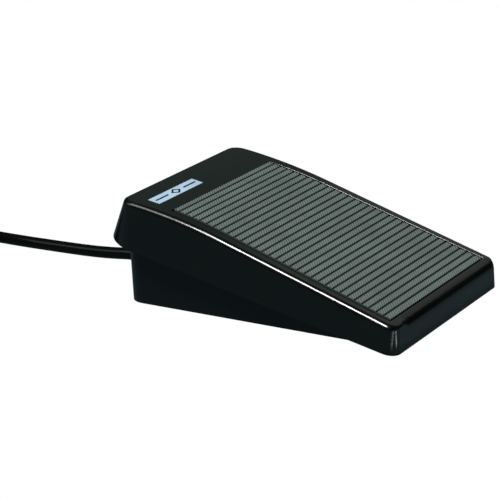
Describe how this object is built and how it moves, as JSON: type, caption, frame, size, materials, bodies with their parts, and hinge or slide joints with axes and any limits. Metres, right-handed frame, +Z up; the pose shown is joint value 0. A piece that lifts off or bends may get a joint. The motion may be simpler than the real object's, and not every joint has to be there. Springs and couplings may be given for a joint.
{
  "type": "foot control pedal",
  "caption": "Wedge-shaped foot control pedal: a sprung ribbed treadle hinged over a flat base, switches inside, and a lead with a jack plug.",
  "frame": {"origin": "centre of the pedal's footprint on the floor, without its lead", "axes": "+X across the treadle, +Y towards the high toe end where the lead leaves, +Z up"},
  "size_m": [0.1185, 0.3353, 0.0559],
  "materials": {
    "treadle_plastic": "fine moulded grain, satin on the rounded edges",
    "base_plastic": "fine moulded grain",
    "mat_rubber": "ribbed, dull",
    "label_film": "printed film",
    "foot_rubber": "dull",
    "cord_pvc": "satin",
    "plug_plastic": "satin",
    "plug_metal": "nickel plated",
    "plated_steel": "zinc plated",
    "sheet_steel": "rolled",
    "spring_steel": "drawn",
    "painted_steel": "black paint",
    "nylon": "natural",
    "felt": "pressed felt",
    "switch_case": "moulded",
    "switch_button": "moulded",
    "contact_brass": "bright",
    "wire_red": "insulation",
    "wire_yellow": "insulation",
    "wire_white": "insulation"
  },
  "bodies": {
    "base": {"base_housing": "base_plastic", "bottom_plate": "painted_steel", "rubber_feet": "foot_rubber", "bottom_screws": "plated_steel", "hinge_pin": "plated_steel", "pin_clips": "spring_steel", "return_spring_left": "spring_steel", "return_spring_right": "spring_steel", "down_stop_bumpers": "foot_rubber", "stop_plate": "sheet_steel", "stop_plate_screws": "plated_steel", "switch_bracket": "sheet_steel", "bracket_screws": "plated_steel", "play_switch_body": "switch_case", "rewind_switch_body": "switch_case", "play_switch_terminals": "contact_brass", "rewind_switch_terminals": "contact_brass", "switch_screws": "plated_steel", "switch_nuts": "plated_steel", "cord_boot": "cord_pvc", "inner_cord": "cord_pvc", "cord_clamp": "nylon", "clamp_screws": "plated_steel", "play_wire": "wire_red", "rewind_wire": "wire_yellow", "common_wire": "wire_white", "jumper_wire": "wire_white", "cord": "cord_pvc", "cord_coil": "cord_pvc", "plug_grip": "plug_plastic", "plug_sleeve": "plug_metal", "plug_ring": "plug_metal", "plug_tip": "plug_metal", "plug_insulators": "plug_plastic"},
    "treadle": {"treadle_cover": "treadle_plastic", "tread_mat": "mat_rubber", "label_plate": "label_film", "hinge_bushes": "nylon", "actuator_screws": "plated_steel", "actuator_nuts": "plated_steel", "stop_hook": "sheet_steel", "stop_hook_screws": "plated_steel", "stop_pad": "felt"},
    "play_lever": {"play_switch_lever": "spring_steel"},
    "rewind_lever": {"rewind_switch_lever": "spring_steel"},
    "play_plunger": {"play_switch_plunger": "switch_button"},
    "rewind_plunger": {"rewind_switch_plunger": "switch_button"}
  },
  "joints": [
    {"name": "treadle_hinge", "type": "hinge", "parent": "base", "child": "treadle", "pos_m": [0, -0.064, 0.011], "axis": [-1, 0, 0], "range_deg": [0, 3.6], "stiffness_Nm_per_rad": 8, "springref_deg": -5.73, "deforming": ["return_spring_left", "return_spring_right"]},
    {"name": "play_lever_pivot", "type": "hinge", "parent": "base", "child": "play_lever", "pos_m": [0.0059, -0.0135, 0.025], "axis": [-1, 0, 0], "range_deg": [0, 11.3]},
    {"name": "play_plunger_slide", "type": "slide", "parent": "base", "child": "play_plunger", "axis": [0, 0, -1], "range_m": [0, 0.0008]},
    {"name": "rewind_lever_pivot", "type": "hinge", "parent": "base", "child": "rewind_lever", "pos_m": [-0.0059, -0.0135, 0.025], "axis": [-1, 0, 0], "range_deg": [0, 11.3]},
    {"name": "rewind_plunger_slide", "type": "slide", "parent": "base", "child": "rewind_plunger", "axis": [0, 0, -1], "range_m": [0, 0.0008]}
  ],
  "couplings": [
    {"joint": "play_lever_pivot", "follows": "treadle_hinge", "ratio": 3.1},
    {"joint": "play_plunger_slide", "follows": "treadle_hinge", "m_per_rad": 0.01115},
    {"joint": "rewind_lever_pivot", "follows": "treadle_hinge", "ratio": 3.1},
    {"joint": "rewind_plunger_slide", "follows": "treadle_hinge", "m_per_rad": 0.01115}
  ]
}
